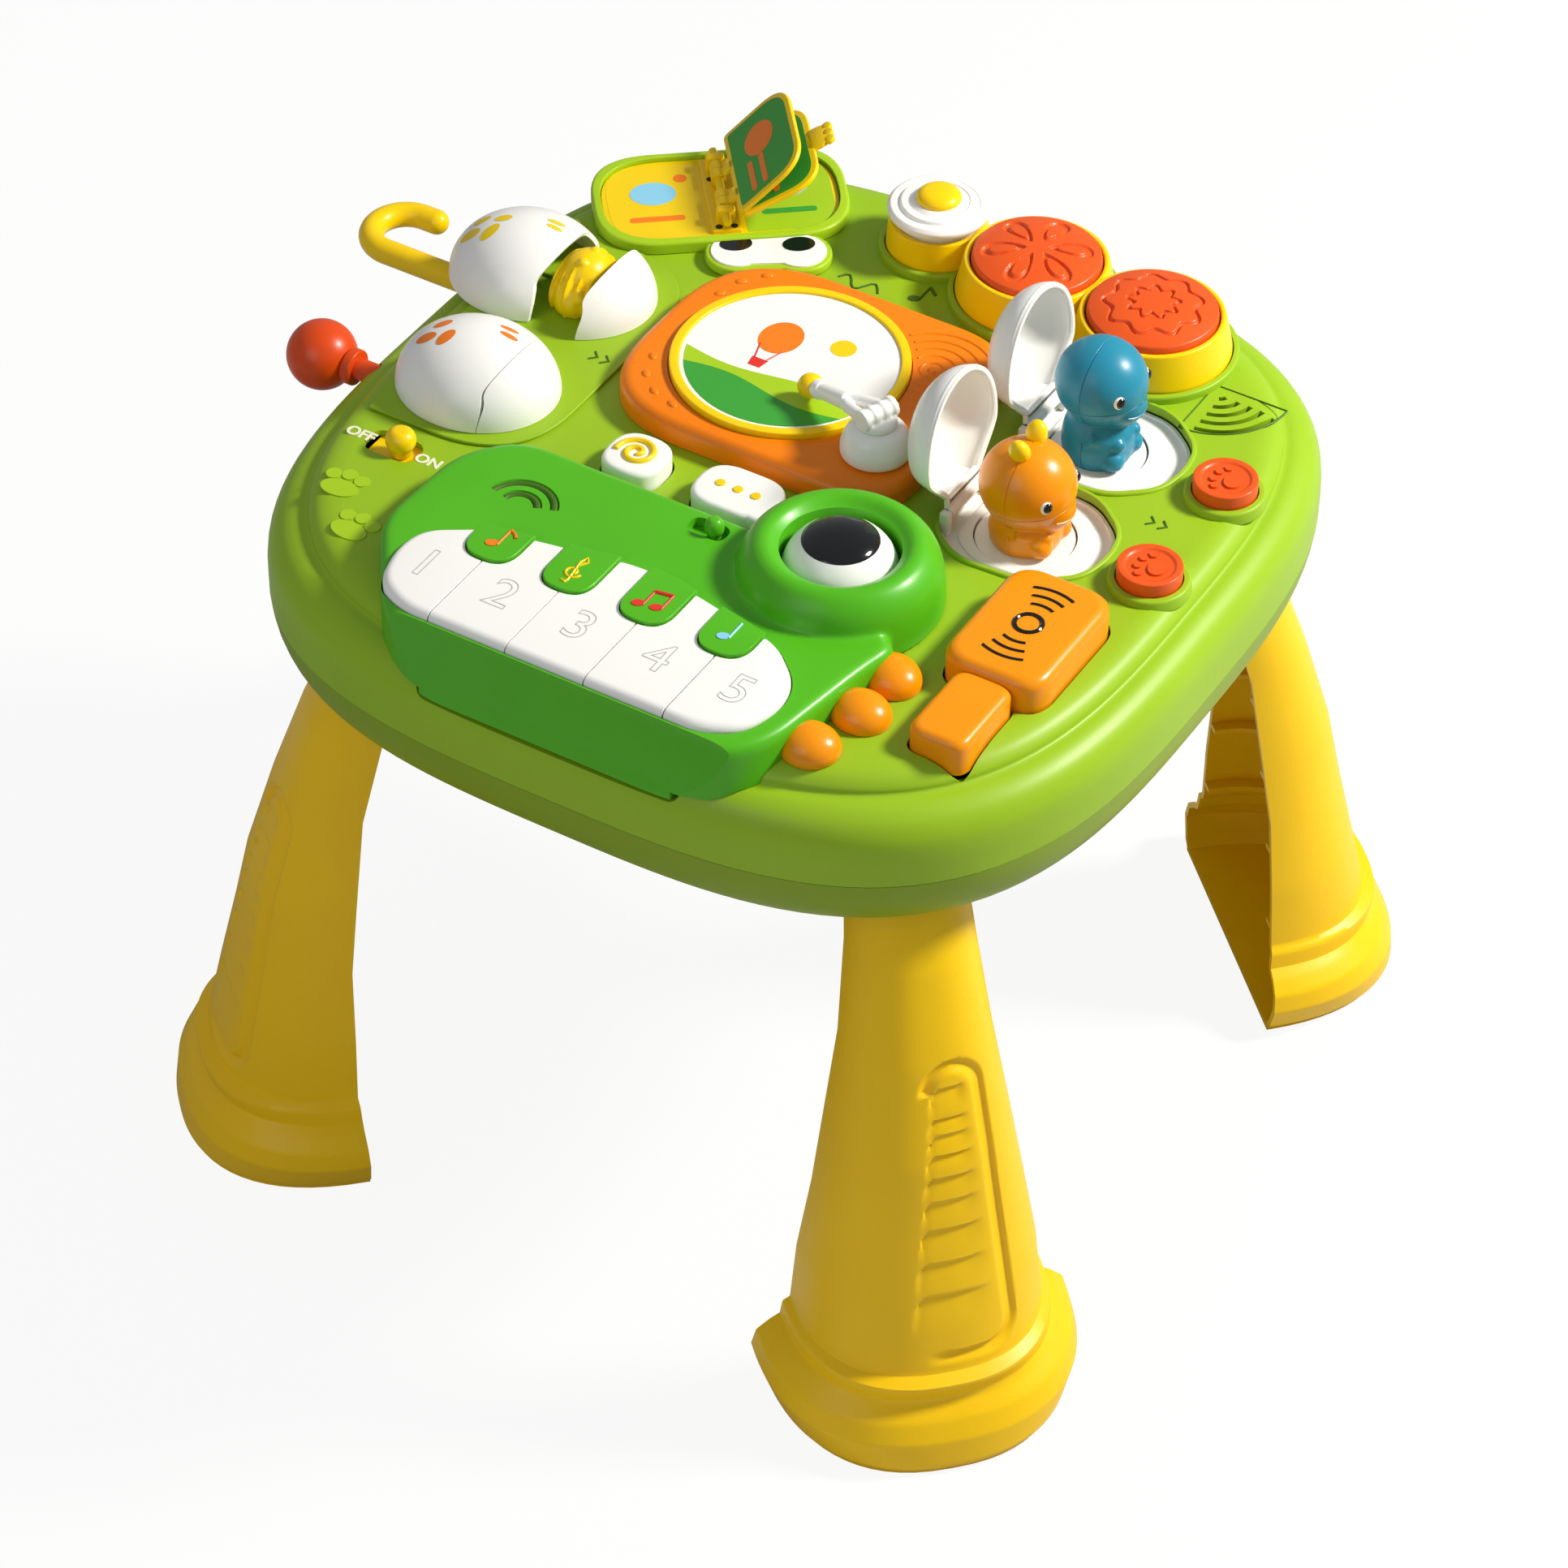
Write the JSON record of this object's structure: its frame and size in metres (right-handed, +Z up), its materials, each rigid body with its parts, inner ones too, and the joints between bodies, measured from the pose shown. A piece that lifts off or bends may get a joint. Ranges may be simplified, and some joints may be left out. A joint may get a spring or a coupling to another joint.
{
  "type": "musical activity table",
  "caption": "Round-cornered toddler play table on four splayed legs, with a crocodile piano, drums, hatching eggs, a spinning disc and a page book.",
  "frame": {"origin": "middle of the whole object's footprint, on the floor", "axes": "+X to the player's right, +Y away from the player, +Z up"},
  "size_m": [0.5112, 0.473, 0.4163],
  "materials": {
    "lime_abs": "moulded, satin",
    "leaf_abs": "moulded, semi-gloss",
    "grass_abs": "moulded, semi-gloss",
    "yellow_abs": "moulded, semi-gloss",
    "orange_abs": "moulded, semi-gloss",
    "coral_abs": "moulded, semi-gloss",
    "white_abs": "moulded, semi-gloss",
    "blue_abs": "moulded, semi-gloss",
    "dark_abs": "moulded, fine matt texture",
    "circuit": "solder mask on glass fibre board",
    "speaker_metal": "pressed steel frame"
  },
  "bodies": {
    "table": {"top_cover": "lime_abs", "bottom_tray": "lime_abs", "battery_door": "lime_abs", "egg_deck": "leaf_abs", "book_tray": "leaf_abs", "book_eyes": "leaf_abs", "crocodile_head": "grass_abs", "leg_front_left": "yellow_abs", "leg_front_right": "yellow_abs", "leg_back_right": "yellow_abs", "leg_back_left": "yellow_abs", "drum_cup_left": "yellow_abs", "drum_cup_middle": "yellow_abs", "drum_cup_right": "yellow_abs", "book_board": "yellow_abs", "book_pin": "yellow_abs", "egg_chick_back": "yellow_abs", "egg_chick_front": "yellow_abs", "crocodile_claw": "orange_abs", "turntable_base": "orange_abs", "crocodile_eyeball": "white_abs", "egg_cup_back": "white_abs", "egg_cup_front": "white_abs", "tonearm_post": "white_abs", "back_egg_shell_right": "white_abs", "front_egg_shell_right": "white_abs", "battery_box": "dark_abs", "circuit_board": "circuit", "speaker": "speaker_metal"},
    "piano_key_1": {"piano_key_1": "white_abs"},
    "piano_key_2": {"piano_key_2": "white_abs"},
    "piano_key_3": {"piano_key_3": "white_abs"},
    "piano_key_4": {"piano_key_4": "white_abs"},
    "piano_key_5": {"piano_key_5": "white_abs"},
    "note_button_1": {"note_button_1": "grass_abs"},
    "note_button_2": {"note_button_2": "grass_abs"},
    "note_button_3": {"note_button_3": "grass_abs"},
    "note_button_4": {"note_button_4": "grass_abs"},
    "mode_knob": {"mode_knob": "grass_abs"},
    "power_knob": {"power_knob": "yellow_abs"},
    "spiral_button": {"spiral_button": "white_abs"},
    "speech_button": {"speech_button": "white_abs"},
    "paw_button_back": {"paw_button_back": "coral_abs"},
    "paw_button_front": {"paw_button_front": "coral_abs"},
    "sound_pad": {"sound_pad": "orange_abs"},
    "drum_pad_left": {"drum_pad_left": "white_abs"},
    "drum_pad_middle": {"drum_pad_middle": "coral_abs"},
    "drum_pad_right": {"drum_pad_right": "coral_abs"},
    "egg_lid_back": {"egg_lid_back": "white_abs"},
    "hatchling_blue": {"hatchling_blue": "blue_abs"},
    "egg_lid_front": {"egg_lid_front": "white_abs"},
    "hatchling_orange": {"hatchling_orange": "orange_abs"},
    "turntable_disc": {"turntable_disc": "white_abs"},
    "tonearm": {"tonearm": "white_abs"},
    "book_page_1": {"book_page_1": "yellow_abs"},
    "book_page_2": {"book_page_2": "yellow_abs"},
    "back_egg_slider": {"hook_handle": "yellow_abs", "back_egg_shell_left": "white_abs"},
    "front_egg_slider": {"ball_handle": "coral_abs", "front_egg_shell_left": "white_abs"}
  },
  "joints": [
    {"name": "piano_key_1_hinge", "type": "hinge", "parent": "table", "child": "piano_key_1", "pos_m": [-0.06489, -0.137, 0.352], "axis": [1, 0, 0], "range_deg": [0, 3], "stiffness_Nm_per_rad": 0.67, "springref_deg": -2.86},
    {"name": "piano_key_2_hinge", "type": "hinge", "parent": "table", "child": "piano_key_2", "pos_m": [-0.02639, -0.1275, 0.352], "axis": [1, 0, 0], "range_deg": [0, 3], "stiffness_Nm_per_rad": 0.67, "springref_deg": -2.86},
    {"name": "piano_key_3_hinge", "type": "hinge", "parent": "table", "child": "piano_key_3", "pos_m": [0.01261, -0.1216, 0.352], "axis": [1, 0, 0], "range_deg": [0, 3], "stiffness_Nm_per_rad": 0.67, "springref_deg": -2.86},
    {"name": "piano_key_4_hinge", "type": "hinge", "parent": "table", "child": "piano_key_4", "pos_m": [0.05161, -0.1247, 0.352], "axis": [1, 0, 0], "range_deg": [0, 3], "stiffness_Nm_per_rad": 0.67, "springref_deg": -2.86},
    {"name": "piano_key_5_hinge", "type": "hinge", "parent": "table", "child": "piano_key_5", "pos_m": [0.09111, -0.1333, 0.352], "axis": [1, 0, 0], "range_deg": [0, 3], "stiffness_Nm_per_rad": 0.67, "springref_deg": -2.86},
    {"name": "note_button_1_press", "type": "slide", "parent": "table", "child": "note_button_1", "axis": [0, 0, -1], "range_m": [0, 0.002], "stiffness_N_per_m": 300, "springref_m": -0.004},
    {"name": "note_button_2_press", "type": "slide", "parent": "table", "child": "note_button_2", "axis": [0, 0, -1], "range_m": [0, 0.002], "stiffness_N_per_m": 300, "springref_m": -0.004},
    {"name": "note_button_3_press", "type": "slide", "parent": "table", "child": "note_button_3", "axis": [0, 0, -1], "range_m": [0, 0.002], "stiffness_N_per_m": 300, "springref_m": -0.004},
    {"name": "note_button_4_press", "type": "slide", "parent": "table", "child": "note_button_4", "axis": [0, 0, -1], "range_m": [0, 0.002], "stiffness_N_per_m": 300, "springref_m": -0.004},
    {"name": "mode_knob_slide", "type": "slide", "parent": "table", "child": "mode_knob", "axis": [-1, 0, 0], "range_m": [0, 0.006]},
    {"name": "power_knob_slide", "type": "slide", "parent": "table", "child": "power_knob", "axis": [-1, 0, 0], "range_m": [0, 0.006]},
    {"name": "spiral_button_press", "type": "slide", "parent": "table", "child": "spiral_button", "axis": [0, 0, -1], "range_m": [0, 0.003], "stiffness_N_per_m": 300, "springref_m": -0.004},
    {"name": "speech_button_press", "type": "slide", "parent": "table", "child": "speech_button", "axis": [0, 0, -1], "range_m": [0, 0.003], "stiffness_N_per_m": 300, "springref_m": -0.004},
    {"name": "paw_button_back_press", "type": "slide", "parent": "table", "child": "paw_button_back", "axis": [0, 0, -1], "range_m": [0, 0.003], "stiffness_N_per_m": 300, "springref_m": -0.004},
    {"name": "paw_button_front_press", "type": "slide", "parent": "table", "child": "paw_button_front", "axis": [0, 0, -1], "range_m": [0, 0.003], "stiffness_N_per_m": 300, "springref_m": -0.004},
    {"name": "sound_pad_press", "type": "slide", "parent": "table", "child": "sound_pad", "axis": [0, 0, -1], "range_m": [0, 0.003], "stiffness_N_per_m": 600, "springref_m": -0.005},
    {"name": "drum_pad_left_press", "type": "slide", "parent": "table", "child": "drum_pad_left", "axis": [0, 0, -1], "range_m": [0, 0.002], "stiffness_N_per_m": 500, "springref_m": -0.004},
    {"name": "drum_pad_middle_press", "type": "slide", "parent": "table", "child": "drum_pad_middle", "axis": [0, 0, -1], "range_m": [0, 0.002], "stiffness_N_per_m": 500, "springref_m": -0.004},
    {"name": "drum_pad_right_press", "type": "slide", "parent": "table", "child": "drum_pad_right", "axis": [0, 0, -1], "range_m": [0, 0.002], "stiffness_N_per_m": 500, "springref_m": -0.004},
    {"name": "egg_lid_back_hinge", "type": "hinge", "parent": "table", "child": "egg_lid_back", "pos_m": [0.09911, 0.077, 0.3515], "axis": [0, 1, 0], "range_deg": [0, 93.8], "stiffness_Nm_per_rad": 0.02, "springref_deg": -85.94},
    {"name": "hatchling_blue_drop", "type": "slide", "parent": "table", "child": "hatchling_blue", "axis": [0, 0, -1], "range_m": [0, 0.033]},
    {"name": "egg_lid_front_hinge", "type": "hinge", "parent": "table", "child": "egg_lid_front", "pos_m": [0.09911, 0.007, 0.3515], "axis": [0, 1, 0], "range_deg": [0, 93.8], "stiffness_Nm_per_rad": 0.02, "springref_deg": -85.94},
    {"name": "hatchling_orange_drop", "type": "slide", "parent": "table", "child": "hatchling_orange", "axis": [0, 0, -1], "range_m": [0, 0.031]},
    {"name": "turntable_spin", "type": "hinge", "parent": "table", "child": "turntable_disc", "pos_m": [-0.00989, 0.0387, 0.359], "axis": [0, 0, 1], "continuous": true},
    {"name": "tonearm_swing", "type": "hinge", "parent": "table", "child": "tonearm", "pos_m": [0.05511, 0.004, 0.375], "axis": [0, 0, 1], "range_deg": [-12, 25]},
    {"name": "book_page_1_turn", "type": "hinge", "parent": "table", "child": "book_page_1", "pos_m": [-0.10889, 0.1389, 0.3575], "axis": [0.6265, -0.7795, 0], "range_deg": [0, 134]},
    {"name": "book_page_2_turn", "type": "hinge", "parent": "table", "child": "book_page_2", "pos_m": [-0.10889, 0.1389, 0.3575], "axis": [-0.6265, 0.7795, 0], "range_deg": [0, 26.6]},
    {"name": "back_egg_slide", "type": "slide", "parent": "table", "child": "back_egg_slider", "axis": [1, 0, 0], "range_m": [0, 0.025]},
    {"name": "front_egg_slide", "type": "slide", "parent": "table", "child": "front_egg_slider", "axis": [-1, 0, 0], "range_m": [0, 0.025]}
  ],
  "couplings": [
    {"joint": "hatchling_blue_drop", "follows": "egg_lid_back_hinge", "m_per_rad": 0.02012},
    {"joint": "hatchling_orange_drop", "follows": "egg_lid_front_hinge", "m_per_rad": 0.0189}
  ]
}
